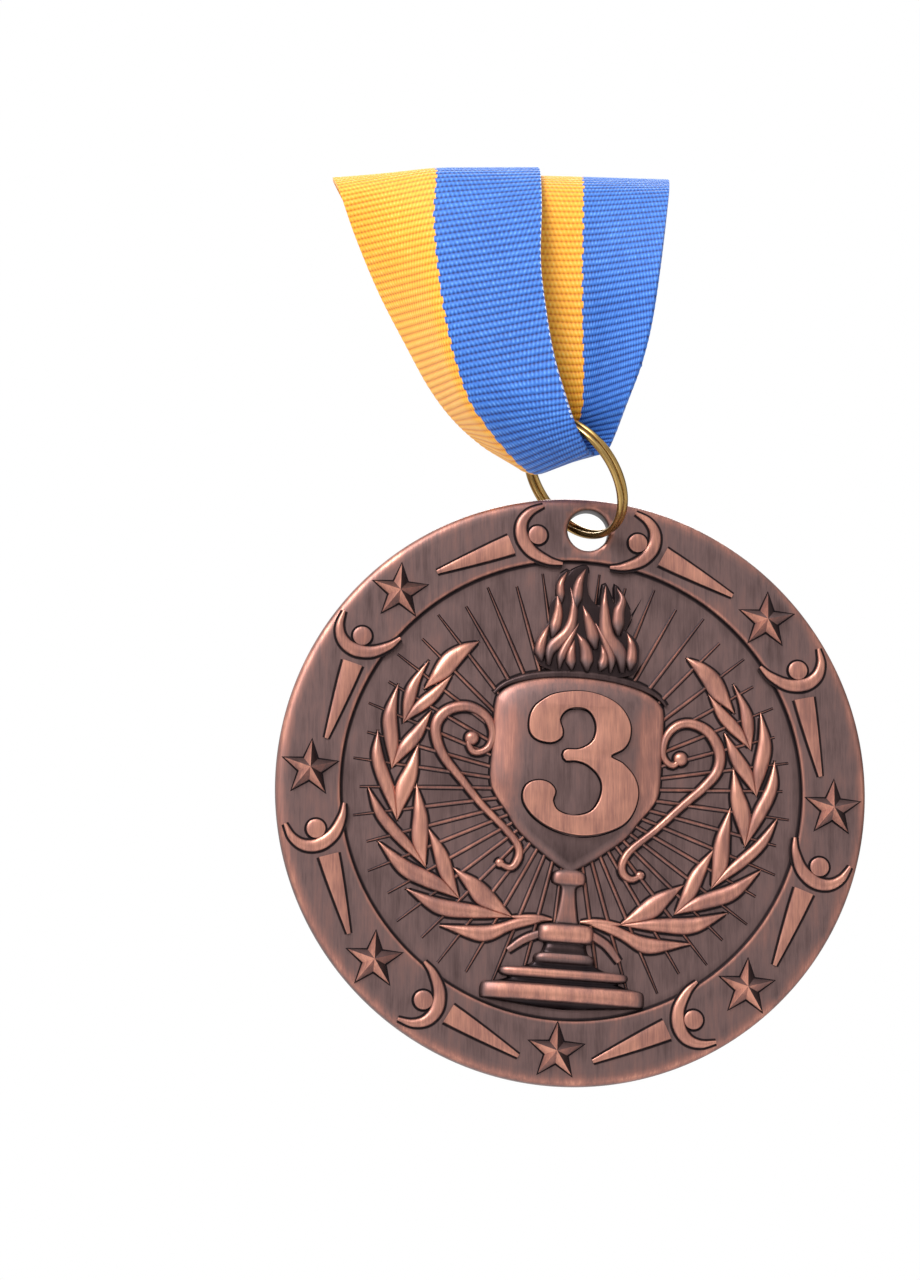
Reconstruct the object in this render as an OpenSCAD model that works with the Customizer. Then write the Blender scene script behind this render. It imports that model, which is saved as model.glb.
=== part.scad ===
// Sports finisher medal: a die-cast disc on a two-turn split ring and a two-colour neck ribbon.
// Millimetres. +Z is up and the medal's face looks along -Y. The origin is the centre of the
// hollow core of the rolled spare ribbon, where a hook holds the medal up.

/* [Disc] */
// Diameter of the disc
disc_d = 65; // [60:0.5:70]
// Thickness of the disc at the outer band
disc_t = 2.6; // [2.4:0.1:3]
// Radius of the recessed middle field
field_r = 25.4; // [24.8:0.1:25.8]
// Depth of the recessed middle field
field_step = 0.5; // [0.3:0.1:0.7]
// Radius of the recessed plain back
back_r = 25.5; // [25:0.1:26]
// Depth of the recessed plain back
back_step = 0.3; // [0.2:0.05:0.4]
// Radius of the hanging hole
hole_r = 2.3; // [2.3:0.05:2.6]
// Distance of the hanging hole from the middle of the disc
hole_off = 29; // [28.8:0.1:29.2]
// Lean of the hanging disc, clockwise seen from the front, in degrees
lean = 3.6; // [0:0.2:4]

/* [Relief] */
// Height of the leaves, cup and base above the field
emblem_h = 0.9; // [0.6:0.1:1.2]
// Height of the numeral above the cup
numeral_h = 0.3; // [0.2:0.1:0.5]
// Height of the stars above the band
star_h = 0.7; // [0.4:0.1:1]
// Height of the running figures above the band
figure_h = 0.35; // [0.2:0.05:0.5]

/* [Split ring] */
// Mean radius of the ring
ring_r = 6.95; // [6.9:0.05:7]
// Radius of the ring's wire
wire_r = 0.36; // [0.3:0.01:0.36]

/* [Ribbon] */
// Width of the ribbon
ribbon_w = 24; // [24:0.5:25]
// Thickness of the ribbon
ribbon_t = 0.45; // [0.4:0.05:0.5]
// Outer radius of the rolled spare ribbon
roll_r = 10.2; // [10:0.1:10.3]
// Width of the roll's hollow core
core_w = 5.6; // [5:0.1:6]
// Height of the roll's hollow core
core_h = 7.6; // [7:0.1:8]
// Thickness of the tie around the roll
tie_t = 0.8; // [0.6:0.1:1]

/* [Hidden] */
$fn = 48;
disc_pos = [0, -5, -60];                   // middle of the disc
roll_x = [-15.5, 8.5];                     // the roll's two ends
face_y = disc_t / 2;                       // height of the band over the middle of the disc
field_y = face_y - field_step;
ring_pos = disc_pos + [0.1, -3.5, 34.3];   // centre of the split ring
ring_turn = [0, 57, 31.4];                 // its attitude: the ring leans back and to the left

// Antique copper, brass and the ribbon's colours
copper = [0.62, 0.38, 0.31];
dark_copper = [0.40, 0.30, 0.29];

module medal_disc() translate(disc_pos) rotate([0, lean, 0]) {
    color(dark_copper) disc_body();
    color(copper) {
        stars();
        figures();
        cup();
        base();
        flame();
        for (side = [0, 1]) mirror([side, 0, 0]) wreath();
        for (side = [0, 1]) mirror([side, 0, 0]) handle();
    }
}

// Puts a flat shape on the face, from a level up to a height over it; 0.1 mm sinks into the metal
module raised(level, height) translate([0, 0.1 - level, 0]) rotate([90, 0, 0])
    linear_extrude(height + 0.1) children();

module disc_body() rotate([90, 0, 0]) difference() {
    translate([0, 0, -face_y]) cylinder(h = disc_t, r = disc_d / 2, $fn = 128);
    translate([0, 0, field_y]) cylinder(h = disc_t, r = field_r, $fn = 128);
    translate([0, 0, -face_y - disc_t + back_step]) cylinder(h = disc_t, r = back_r, $fn = 128);
    translate([0, hole_off, -disc_t]) cylinder(h = 2 * disc_t, r = hole_r);
}

// Seven upright five-pointed stars; the hanging hole takes the eighth place
module stars() raised(face_y, star_h) for (i = [1 : 7])
    translate(28.8 * [sin(45 * i), cos(45 * i)])
        polygon([for (k = [0 : 9]) (k % 2 == 0 ? 3.15 : 1.3) * [sin(36 * k), cos(36 * k)]]);

// Figures with raised arms, heads towards the top on both sides:
// angle from the top, bend of the body, its shift inwards
figure_set = [[11.3, 14, 0.7], [58.1, 17, 0.9], [103.4, 5, 0.9], [148.8, 4, 0.4]];
module figures() raised(face_y, figure_h) for (f = figure_set, side = [0, 1])
    mirror([side, 0]) rotate(-f[0]) translate([0, 28.4]) rotate(-90) figure(f[1], f[2]);

// One figure: head at the origin, body along +Y, arms opening towards -Y
module figure(bend, shift) {
    circle(1.05);
    difference() {
        translate([0, -1.4]) circle(3.6);
        translate([0, -2.1]) circle(3.3);
        translate([-5, -9.5]) square([10, 8]);
    }
    translate([shift, 3.1]) rotate(-bend) polygon([[-1.15, 0], [1.15, 0], [0.2, 8.7], [-0.2, 8.7]]);
}

module cup() {
    raised(field_y, emblem_h) {
        difference() {
            translate([0, -2.5]) circle(15.2);
            translate([-20, -18]) square([10.6, 40]);
            translate([9.4, -18]) square([10.6, 40]);
            translate([-10, -20]) square([20, 20]);
            translate([0, 24]) rotate(45) square(2, center = true);
        }
        polygon([[-9.4, 0.1], [-7.4, -3.1], [-5.9, -5.1], [-3.3, -7.2], [0, -9.6],
                 [3.3, -7.2], [5.9, -5.1], [7.4, -3.1], [9.4, 0.1]]);
    }
    raised(field_y, emblem_h + numeral_h) numeral();
}

// The numeral: an upper and a lower bowl of the same stroke, open on the left
module numeral() {
    translate([0.4, 6.6]) arc_stroke(4.1, 2.6, -70, 160);
    translate([0.8, -0.6]) arc_stroke(4.6, 2.8, -160, 75);
    translate([-3.4, 6.2]) circle(1.5);
    translate([-3.8, -1.4]) circle(1.5);
}

// A round stroke of one width about the origin, from one angle to another
module arc_stroke(radius, width, from, to) intersection() {
    difference() {
        circle(radius + width / 2);
        circle(radius - width / 2);
    }
    polygon(concat([[0, 0]], [for (k = [0 : 6]) 20 * [cos(from + (to - from) * k / 6),
        sin(from + (to - from) * k / 6)]]));
}

module flame() raised(field_y, emblem_h)
    polygon([[-4.2, 13.2], [-5.1, 15], [-3.7, 18.4], [-2.8, 21.6], [-2, 24.2], [0.1, 24.8], [0.6, 21.4],
             [1.7, 20.4], [2.2, 23], [3.4, 20.8], [3.4, 22.9], [5.2, 20], [4.3, 17.4], [6.4, 15.5], [4.7, 12.8]]);

// Stem with its two knobs, the neck and the stepped plinth
module base() raised(field_y, emblem_h) translate([0.3, 0]) {
    translate([-1.7, -10.6]) square([3.4, 1.5]);
    polygon([[-0.8, -10.5], [0.8, -10.5], [1.3, -15], [-1.3, -15]]);
    translate([-3, -17.2]) square([6, 2.3]);
    translate([-2.2, -18.3]) square([4.4, 1.2]);
    translate([-3.2, -19.5]) square([6.4, 1.4]);
    translate([-6.9, -21.3]) square([13.8, 1.9]);
    translate([-8.8, -24]) square([17.6, 2.8]);
}

// Leaves of one side: a single leaf at the top, six pairs, and a long one at the foot
module wreath() raised(field_y, emblem_h * 0.9) {
    leaf([17.5, 9.7], [11.7, 15.6], 1.3);
    for (pair = [[[19.5, 5.8], [17.1, 13.1], [14.4, 11.7]], [[20.4, 0.7], [20.3, 10.2], [16.4, 7.6]],
                 [[19.4, -5], [22.2, 4.9], [17.6, 3.8]], [[15.9, -9.9], [22.9, -1.4], [17.6, -0.6]],
                 [[12, -13], [21.4, -7.3], [16.1, -5.3]], [[6, -14.6], [18, -12.3], [13, -9.6]]]) {
        leaf(pair[0], pair[1], 1.15);
        leaf(pair[0], pair[2], 1.0);
    }
    leaf([2, -15.2], [14, -16.2], 0.8);
}

// A pointed leaf from its base to its tip: the overlap of two equal circles
module leaf(base, tip, half_width) {
    along = tip - base;
    half = norm(along) / 2;
    r = (half * half + half_width * half_width) / (2 * half_width);
    translate((base + tip) / 2) rotate(atan2(along[1], along[0])) intersection() {
        translate([0, r - half_width]) circle(r, $fn = 96);
        translate([0, half_width - r]) circle(r, $fn = 96);
    }
}

// Scrolled handle: an arch beside the cup, then a long curve down to the bowl's foot
module handle() raised(field_y, emblem_h * 0.8) {
    translate([12.9, 4.9]) arc_stroke(3.1, 0.7, -30, 190);
    translate([9.9, 4.2]) circle(0.7);
    polygon([[15.9, 3.6], [15.2, 3.3], [12, -0.4], [7.2, -5.4], [5.6, -7.4], [6.2, -7.4], [7.6, -5.8], [12.6, -0.6]]);
    translate([6.9, -7.9]) arc_stroke(1.3, 0.5, 160, 320);
}

// Two turns of round wire side by side
module split_ring() color([0.62, 0.47, 0.22]) translate(ring_pos) rotate(ring_turn)
    rotate_extrude($fn = 96) translate([ring_r, 0]) {
        for (turn = [-1, 1]) translate([0, turn * wire_r]) circle(wire_r, $fn = 24);
        translate([-wire_r, -wire_r]) square(2 * wire_r);
    }

// The two edges and the colour boundary of the ribbon, in millimetres from the middle of the disc.
// They run from the top of the roll down the front strand, through the ring and up the rear strand.
front_outer = [[-26.8, 5, 70.6], [-26, 0.5, 67.5], [-24, 1.5, 62.5], [-21.2, 3, 56.5], [-17.8, 3, 50],
               [-14.7, 3.2, 44.4], [-11.3, 3.2, 40.8]];
front_middle = [[-15.3, 5, 71.3], [-15.4, -1.7, 69.2], [-16, -6, 62.5], [-15.5, -7.4, 55.5], [-14.5, -7.4, 49.3],
                [-13.2, -6.7, 44.9], [-11.6, -5.5, 41.5]];
front_inner = [[-3.3, 5, 71.7], [-3.6, -1.9, 69.6], [-4, -7.6, 64], [-4.3, -9.8, 57], [-3.7, -10.4, 51],
               [-2.9, -10.7, 46.2], [-1.7, -11, 41.7]];
fold_middle = [[-7.9, -2.8, 37.6], [-5.1, -0.2, 35.7], [-3.6, 1, 35.7], [-2.7, 1.6, 37.6], [-0.4, -2.6, 39]];
fold_inner = [[-0.6, -10.7, 38.4], [0.5, -9.6, 36.6], [1.4, -8, 36.1], [3.2, -6.2, 36.9], [4.2, -7.6, 38.8]];
rear_middle = [[0.8, -5.6, 41.2], [1, -6.2, 45], [0.9, -6.2, 50], [0.8, -6.2, 57], [1, -4.7, 65],
               [1.3, -0.9, 69.05], [1.6, 5, 70.8]];
rear_inner = [[5.2, -11, 41.8], [6.4, -12.8, 45.4], [7.5, -13, 50], [8.7, -11.6, 57], [10.3, -6, 65.5],
              [11.1, -0.9, 69.05], [11.6, 5, 70.8]];
rear_outer = [[-7, -0.5, 42.5], [-9, -3, 46], [-10.5, -5, 51], [-11, -5.8, 57], [-10.8, -4.7, 65],
              [-10.6, -0.9, 69.05], [-10.4, 5, 70.8]];

module ribbon() {
    color([0.20, 0.45, 0.85]) translate(disc_pos) {
        panel(concat(front_middle, fold_middle, rear_middle), concat(front_inner, fold_inner, rear_inner));
    }
    color([1.0, 0.72, 0.12]) translate(disc_pos) {
        panel(front_outer, overlap(front_middle, front_inner));
        panel(rear_outer, overlap(rear_middle, rear_inner));
    }
    color([0.20, 0.45, 0.85]) roll();
}

// The spare length of both strands, rolled up together; its hollow core goes over a hook
module roll() translate([roll_x[0], 0, 0]) rotate([90, 0, 90]) difference() {
    cylinder(h = roll_x[1] - roll_x[0], r = roll_r, $fn = 96);
    translate([0, 0, -1]) linear_extrude(ribbon_w + 2) core();
}

// Oval outline of the roll's hollow core
module core() {
    for (side = [-1, 1]) translate([0, side * (core_h - core_w) / 2]) circle(core_w / 2);
    square([core_w, core_h - core_w], center = true);
}

// A band of cloth between two edges, as thick as the ribbon; every span is curved in three steps
module panel(edge_a, edge_b) {
    a = curve(edge_a);
    b = curve(edge_b);
    last = len(a) - 1;
    points = [for (i = [0 : last]) let (
            along = a[min(i + 1, last)] - a[max(i - 1, 0)] + b[min(i + 1, last)] - b[max(i - 1, 0)],
            across = cross(b[i] - a[i], along),
            half = across * (ribbon_t / 2 / norm(across)))
        each [a[i] + half, b[i] + half, b[i] - half, a[i] - half]];
    sides = [for (i = [0 : last - 1], k = [0 : 3]) let (at = 4 * i + k, next = 4 * i + (k + 1) % 4)
        each [[at, next + 4, next], [at, at + 4, next + 4]]];
    ends = [[0, 1, 2], [0, 2, 3], [4 * last + 2, 4 * last + 1, 4 * last], [4 * last + 3, 4 * last + 2, 4 * last]];
    polyhedron(points, concat(sides, ends));
}

// The first edge moved a little towards the second, so that two panels overlap
function overlap(a, b) = [for (i = [0 : len(a) - 1]) a[i] * 0.94 + b[i] * 0.06];

// A smooth curve through points, with two new points in every span
function curve(p) = let (last = len(p) - 1) concat([for (i = [0 : last - 1], k = [0 : 2])
    spline(p[max(i - 1, 0)], p[i], p[i + 1], p[min(i + 2, last)], k / 3)], [p[last]]);
function spline(a, b, c, d, t) = 0.5 * (2 * b + (c - a) * t + (2 * a - 5 * b + 4 * c - d) * t * t
    + (3 * b - a - 3 * c + d) * t * t * t);

// Two rows of stitches through the overlap of the ribbon's ends, at the back of the roll
module seam_thread() color("white") for (row = [-1, 1], i = [0 : 7])
    rotate([18 * row, 0, 0]) translate([roll_x[0] + 1.6 + 2.9 * i, roll_r + 0.05, -0.15]) cube([1.6, 0.2, 0.3]);

// A cord tied through the core and across the lower back of the roll
module roll_tie() color([0.9, 0.9, 0.88]) rotate([-50, 0, 0]) {
    inner = 2.4;
    outer = roll_r + 0.5;
    translate([0, 0, -tie_t / 2]) linear_extrude(tie_t) difference() {
        rounded([roll_x[0] - 0.2 - tie_t, inner], [roll_x[1] + 0.2 + tie_t, outer + tie_t], 1.2);
        rounded([roll_x[0] - 0.2, inner + tie_t], [roll_x[1] + 0.2, outer], 0.4);
    }
}

// A rectangle with round corners, from its low to its high corner
module rounded(low, high, r) {
    translate(low + [r, 0]) square([high[0] - low[0] - 2 * r, high[1] - low[1]]);
    translate(low + [0, r]) square([high[0] - low[0], high[1] - low[1] - 2 * r]);
    for (x = [low[0] + r, high[0] - r], y = [low[1] + r, high[1] - r]) translate([x, y]) circle(r, $fn = 24);
}

medal_disc();
split_ring();
ribbon();
seam_thread();
roll_tie();
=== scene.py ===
import bmesh
import bpy
import numpy as np
from mathutils import Matrix, Vector


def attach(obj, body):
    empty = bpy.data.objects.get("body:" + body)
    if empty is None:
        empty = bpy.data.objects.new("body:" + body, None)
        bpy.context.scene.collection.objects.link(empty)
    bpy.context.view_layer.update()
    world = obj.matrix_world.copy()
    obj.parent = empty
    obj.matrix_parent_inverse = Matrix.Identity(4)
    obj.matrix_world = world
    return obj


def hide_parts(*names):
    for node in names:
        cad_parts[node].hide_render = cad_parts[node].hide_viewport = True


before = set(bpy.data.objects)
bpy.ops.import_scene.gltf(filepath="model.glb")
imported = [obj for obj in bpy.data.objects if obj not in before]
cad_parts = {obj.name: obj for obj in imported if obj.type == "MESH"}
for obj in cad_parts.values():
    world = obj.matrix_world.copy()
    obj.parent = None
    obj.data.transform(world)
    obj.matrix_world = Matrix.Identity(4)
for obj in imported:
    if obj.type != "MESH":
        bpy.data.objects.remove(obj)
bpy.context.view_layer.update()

mm = 0.001
discCentre = np.array([0.0, -5.0, -60.0])     # middle of the disc, in millimetres
lean = np.radians(3.6)                        # the disc hangs a little clockwise


def smoothLine(points, count):
    # Catmull-Rom: 0.5 * (2b + (c-a)t + (2a-5b+4c-d)t^2 + (3b-a-3c+d)t^3) through the points
    p = np.asarray(points, float)
    p = np.vstack([2 * p[0] - p[1], p, 2 * p[-1] - p[-2]])
    s = np.linspace(0, len(p) - 3 - 1e-9, count)
    i = s.astype(int)
    t = (s - i)[:, None]
    a, b, c, d = p[i], p[i + 1], p[i + 2], p[i + 3]
    return 0.5 * (2 * b + (c - a) * t + (2 * a - 5 * b + 4 * c - d) * t ** 2 + (3 * b - a - 3 * c + d) * t ** 3)


def lengthAlong(line):
    # distance from the first point to each point of a line
    return np.concatenate([[0], np.cumsum(np.linalg.norm(np.diff(line, axis=0), axis=1))])


def evenLine(points, count):
    # the same curve with its points spaced evenly along its length
    fine = smoothLine(points, 400)
    run = lengthAlong(fine)
    at = np.linspace(0, run[-1], count)
    return np.stack([np.interp(at, run, fine[:, k]) for k in range(fine.shape[1])], axis=1)


def unit(v):
    return v / np.maximum(np.linalg.norm(v, axis=-1, keepdims=True), 1e-9)


def onFace(x, z, h):
    # face coordinates (right, up, height over the disc's middle) to millimetres in the row frame
    c, s = np.cos(lean), np.sin(lean)
    return np.stack([x * c + z * s, -h + 0 * x, z * c - x * s], axis=-1) + discCentre


class Shape:
    # collects grids into one mesh; a grid is rows x columns of points, closed across its columns
    def __init__(self):
        self.points, self.quads, self.tris, self.polish, self.uv = [], [], [], [], []
        self.count = 0

    def add(self, points, polish=None, uv=None):
        base = self.count
        flat = points.reshape(-1, 3)
        self.points.append(flat)
        self.polish.append(np.zeros(len(flat))
                           if polish is None else np.broadcast_to(polish, points.shape[:-1]).reshape(-1))
        self.uv.append(np.zeros((len(flat), 2)) if uv is None else uv.reshape(-1, 2))
        self.count += len(flat)
        return base

    def grid(self, points, polish=None, uv=None, around=True, caps=True, flip=False):
        rows, cols = points.shape[:2]
        base = self.add(points, polish, uv)
        r = np.arange(rows - 1)[:, None]
        c = np.arange(cols if around else cols - 1)[None, :]
        n = (c + 1) % cols
        quads = np.stack([r * cols + c, r * cols + n, (r + 1) * cols + n, (r + 1) * cols + c],
                         axis=-1).reshape(-1, 4) + base
        self.quads.append(quads[:, ::-1] if flip else quads)
        if caps and around:
            for row, turn in ((0, True), (rows - 1, False)):
                ring = base + row * cols + np.arange(cols)
                shade = None if polish is None else np.broadcast_to(polish, points.shape[:-1])[row].mean()[None]
                mid = self.add(points[row].mean(axis=0)[None], shade)
                tri = np.stack([ring, np.roll(ring, -1), np.full(cols, mid)], axis=-1)
                self.tris.append(tri[:, ::-1] if turn != flip else tri)

    def build(self, name, sharp=40):
        mesh = bpy.data.meshes.new(name)
        points = np.concatenate(self.points) * mm
        faces = [f for block in self.quads
                 for f in block.tolist()] + [f for block in self.tris for f in block.tolist()]
        mesh.from_pydata(points.tolist(), [], faces)
        mesh.update()
        polish = mesh.attributes.new("polish", "FLOAT", "POINT")
        polish.data.foreach_set("value", np.concatenate(self.polish).astype(np.float32))
        corner = np.zeros(len(mesh.loops), dtype=np.int32)
        mesh.loops.foreach_get("vertex_index", corner)
        weave = mesh.uv_layers.new(name="weave")
        weave.data.foreach_set("uv", np.concatenate(self.uv)[corner].astype(np.float32).ravel())
        piece = bpy.data.objects.new(name, mesh)
        bpy.context.scene.collection.objects.link(piece)
        mesh.validate()
        outward(mesh)
        mesh.shade_smooth()
        mesh.set_sharp_from_angle(angle=np.radians(sharp))
        return piece


def outward(mesh):
    work = bmesh.new()
    work.from_mesh(mesh)
    bmesh.ops.recalc_face_normals(work, faces=work.faces)
    work.to_mesh(mesh)
    work.free()
    mesh.update()


def newMaterial(name):
    made = bpy.data.materials.new(name)
    made.use_nodes = True
    return made, made.node_tree, made.node_tree.nodes["Principled BSDF"]


def value(tree, kind, *inputs, clamp=False):
    # one maths node; an input is a number or another node's output
    made = tree.nodes.new("ShaderNodeMath")
    made.operation = kind
    made.use_clamp = clamp
    for socket, item in zip(made.inputs, inputs):
        if isinstance(item, (int, float)):
            socket.default_value = item
        else:
            tree.links.new(item, socket)
    return made.outputs[0]


def plus(tree, a, b, clamp=False):
    return value(tree, "ADD", a, b, clamp=clamp)


def minus(tree, a, b):
    return value(tree, "SUBTRACT", a, b)


def times(tree, a, b, clamp=False):
    return value(tree, "MULTIPLY", a, b, clamp=clamp)


def streaks(tree, scale, detail=3.0, rough=0.6, turn=(0, 0, 0)):
    # noise on Object coordinates, in millimetres, stretched by the scale along each axis
    coords = tree.nodes.new("ShaderNodeTexCoord")
    mapping = tree.nodes.new("ShaderNodeMapping")
    mapping.inputs["Scale"].default_value = tuple(1000 * k for k in scale)
    mapping.inputs["Rotation"].default_value = turn
    noise = tree.nodes.new("ShaderNodeTexNoise")
    noise.inputs["Scale"].default_value = 1.0
    noise.inputs["Detail"].default_value = detail
    noise.inputs["Roughness"].default_value = rough
    tree.links.new(coords.outputs["Object"], mapping.inputs["Vector"])
    tree.links.new(mapping.outputs["Vector"], noise.inputs["Vector"])
    return noise.outputs["Fac"]


def ramp(tree, fac, stops):
    made = tree.nodes.new("ShaderNodeValToRGB")
    made.color_ramp.elements[0].position, made.color_ramp.elements[0].color = stops[0][0], (*stops[0][1], 1)
    made.color_ramp.elements[1].position, made.color_ramp.elements[1].color = stops[-1][0], (*stops[-1][1], 1)
    for place, colour in stops[1:-1]:
        made.color_ramp.elements.new(place).color = (*colour, 1)
    tree.links.new(fac, made.inputs["Fac"])
    return made.outputs["Color"]


def mixColour(tree, fac, a, b):
    made = tree.nodes.new("ShaderNodeMix")
    made.data_type = "RGBA"
    for socket, item in ((made.inputs[0], fac), (made.inputs[6], a), (made.inputs[7], b)):
        if isinstance(item, (int, float)):
            socket.default_value = item
        elif isinstance(item, tuple):
            socket.default_value = (*item, 1)
        else:
            tree.links.new(item, socket)
    return made.outputs[2]


def bump(tree, shader, height, strength, distance):
    made = tree.nodes.new("ShaderNodeBump")
    made.inputs["Strength"].default_value = strength
    made.inputs["Distance"].default_value = distance
    tree.links.new(height, made.inputs["Height"])
    tree.links.new(made.outputs["Normal"], shader.inputs["Normal"])


copperFinish = {
    "groove": (0.010, 0.006, 0.008),
    "shade": (0.050, 0.030, 0.030),
    "patina": (0.168, 0.104, 0.099),
    "rubbed": (0.37, 0.170, 0.135),
    "bright": (0.68, 0.315, 0.225),
    "streakX": 5.5,        # brushed lines to a millimetre
    "streakZ": 0.35,
    "broad": (0.9, 0.9, 0.14),      # wider streaks and clouds of tarnish, waves to a millimetre
    "clouds": (0.16, 0.16, 0.16),
    "slant": (0, 0.06, 0),
    "metallic": 0.82,
}


def copperMaterial():
    # colour runs from black grooves over brown patina to rubbed copper along the attribute of polish and painted
    # light, which besides rubbed wear carries painted light and shade on the stars' facets and the cup's sides
    k = copperFinish
    made, tree, shader = newMaterial("antiqueCopper")
    polish = tree.nodes.new("ShaderNodeAttribute")
    polish.attribute_name = "polish"
    fine = streaks(tree, (k["streakX"], k["streakX"], k["streakZ"]), 4.0, 0.7, k["slant"])
    broad = streaks(tree, k["broad"], 3.0, 0.6, k["slant"])
    cloudy = streaks(tree, k["clouds"], 3.0, 0.6)
    amount = plus(tree, times(tree, minus(tree, fine, 0.5), 0.42),
                   times(tree, minus(tree, broad, 0.5), 0.55))
    amount = plus(tree, amount, times(tree, minus(tree, cloudy, 0.5), 0.5))
    strength = ramp(tree, polish.outputs["Fac"],
                    [(0.0, (0.1,) * 3), (0.3, (0.35,) * 3), (0.6, (1.25,) * 3), (1.0, (1.35,) * 3)])
    level = plus(tree, polish.outputs["Fac"], times(tree, amount, strength), clamp=True)
    colour = ramp(tree, level, [(0.0, k["groove"]), (0.16, k["shade"]), (0.36, k["patina"]), (0.68, k["rubbed"]),
                                (1.0, k["bright"])])
    tree.links.new(colour, shader.inputs["Base Color"])
    shader.inputs["Metallic"].default_value = k["metallic"]
    gloss = ramp(tree, level, [(0.0, (0.30,) * 3), (0.36, (0.47,) * 3), (1.0, (0.32,) * 3)])
    tree.links.new(gloss, shader.inputs["Roughness"])
    bump(tree, shader, plus(tree, fine, times(tree, broad, 0.5)), 0.22, 0.00006)
    return made


copper = copperMaterial()
print("copper finish ready")


disc = {
    "radius": 32.5, "face": 1.3, "field": 0.8, "fieldRadius": 25.4, "back": -1.0,
    "holeRadius": 2.3, "holeUp": 29.0, "around": 360,
}


def discProfile():
    # radius, height and polish from the middle of the face, over the rim, to the middle of the back
    f, t, r = disc["field"], disc["face"], disc["radius"]
    return np.array([
        [0.02, f, 0.33], [6, f, 0.33], [12, f, 0.33], [18, f, 0.34], [22, f, 0.34], [24.5, f, 0.34],
        [25.05, f, 0.30], [25.22, f - 0.01, 0.06],
        [25.32, f + 0.02, 0.02], [25.40, f + 0.2, 0.10], [25.46, t - 0.12, 0.42], [25.54, t - 0.03, 0.72],
        [25.68, t, 0.62],
        [25.85, t, 0.40], [26.8, t, 0.36], [28, t, 0.36], [29.2, t, 0.36], [30.3, t, 0.36], [31.1, t, 0.37],
        [31.55, t - 0.01, 0.44],
        [31.85, t - 0.05, 0.56], [32.15, t - 0.14, 0.68], [32.38, t - 0.34, 0.60], [32.48, t - 0.62, 0.40],
        [r, t - 1.0, 0.36],
        [r, -t + 0.9, 0.40], [32.46, -t + 0.5, 0.46], [32.3, -t + 0.22, 0.62], [32.0, -t + 0.06, 0.70],
        [31.5, -t, 0.52],
        [30.6, -t, 0.40], [28, -t, 0.37], [26, -t, 0.42], [25.7, -t + 0.02, 0.55], [25.55, -t + 0.12, 0.25],
        [25.45, disc["back"] - 0.01, 0.12],
        [24.8, disc["back"], 0.30], [22, disc["back"], 0.34], [18, disc["back"], 0.34], [9, disc["back"], 0.34],
        [0.02, disc["back"], 0.34]])


def makeDisc():
    # lathe: x = r sin a, z = r cos a, height from the profile; then the hanging hole is cut
    profile = discProfile()
    a = np.linspace(0, 2 * np.pi, disc["around"], endpoint=False)
    r, h = profile[:, 0][:, None], profile[:, 1][:, None]
    shape = Shape()
    shape.grid(onFace(r * np.sin(a), r * np.cos(a), h + 0 * a), profile[:, 2][:, None] + 0 * a)
    body = shape.build("medalBody")
    hole = disc["holeRadius"]   # the cutter flares at both ends, so the hole's edges are rounded off
    cutProfile = np.array([[0.01, 2.2], [2.75, 2.2], [2.62, 1.30], [2.42, 1.18], [hole, 0.95],
                           [hole, -0.95], [2.42, -1.18], [2.62, -1.30], [2.75, -2.2], [0.01, -2.2]])
    b = np.linspace(0, 2 * np.pi, 72, endpoint=False)
    cutter = Shape()
    cutter.grid(onFace(cutProfile[:, :1] * np.sin(b), disc["holeUp"] + cutProfile[:, :1] * np.cos(b),
                       cutProfile[:, 1:] + 0 * b),
                np.full((len(cutProfile), len(b)), 0.3))
    tool = cutter.build("holeCutter")
    cut = body.modifiers.new("hole", "BOOLEAN")
    cut.operation, cut.solver, cut.object = "DIFFERENCE", "EXACT", tool
    bpy.context.view_layer.update()
    done = bpy.data.meshes.new_from_object(body.evaluated_get(bpy.context.evaluated_depsgraph_get()))
    body.modifiers.clear()
    body.data = done
    bpy.data.objects.remove(tool)
    place = np.zeros(len(done.vertices) * 3)
    done.vertices.foreach_get("co", place)
    place = place.reshape(-1, 3) / mm - discCentre
    x = place[:, 0] * np.cos(lean) - place[:, 2] * np.sin(lean)
    z = place[:, 2] * np.cos(lean) + place[:, 0] * np.sin(lean)
    away = np.hypot(x, z - disc["holeUp"])
    polish = np.zeros(len(done.vertices), dtype=np.float32)
    done.attributes["polish"].data.foreach_get("value", polish)
    polish = np.where(away < 2.70, np.where(away > 2.5, 0.62, np.where(away > 2.35, 0.5, 0.14)), polish)
    done.attributes["polish"].data.foreach_set("value", polish.astype(np.float32))
    done.shade_smooth()
    done.set_sharp_from_angle(angle=np.radians(32))
    return body


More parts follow.
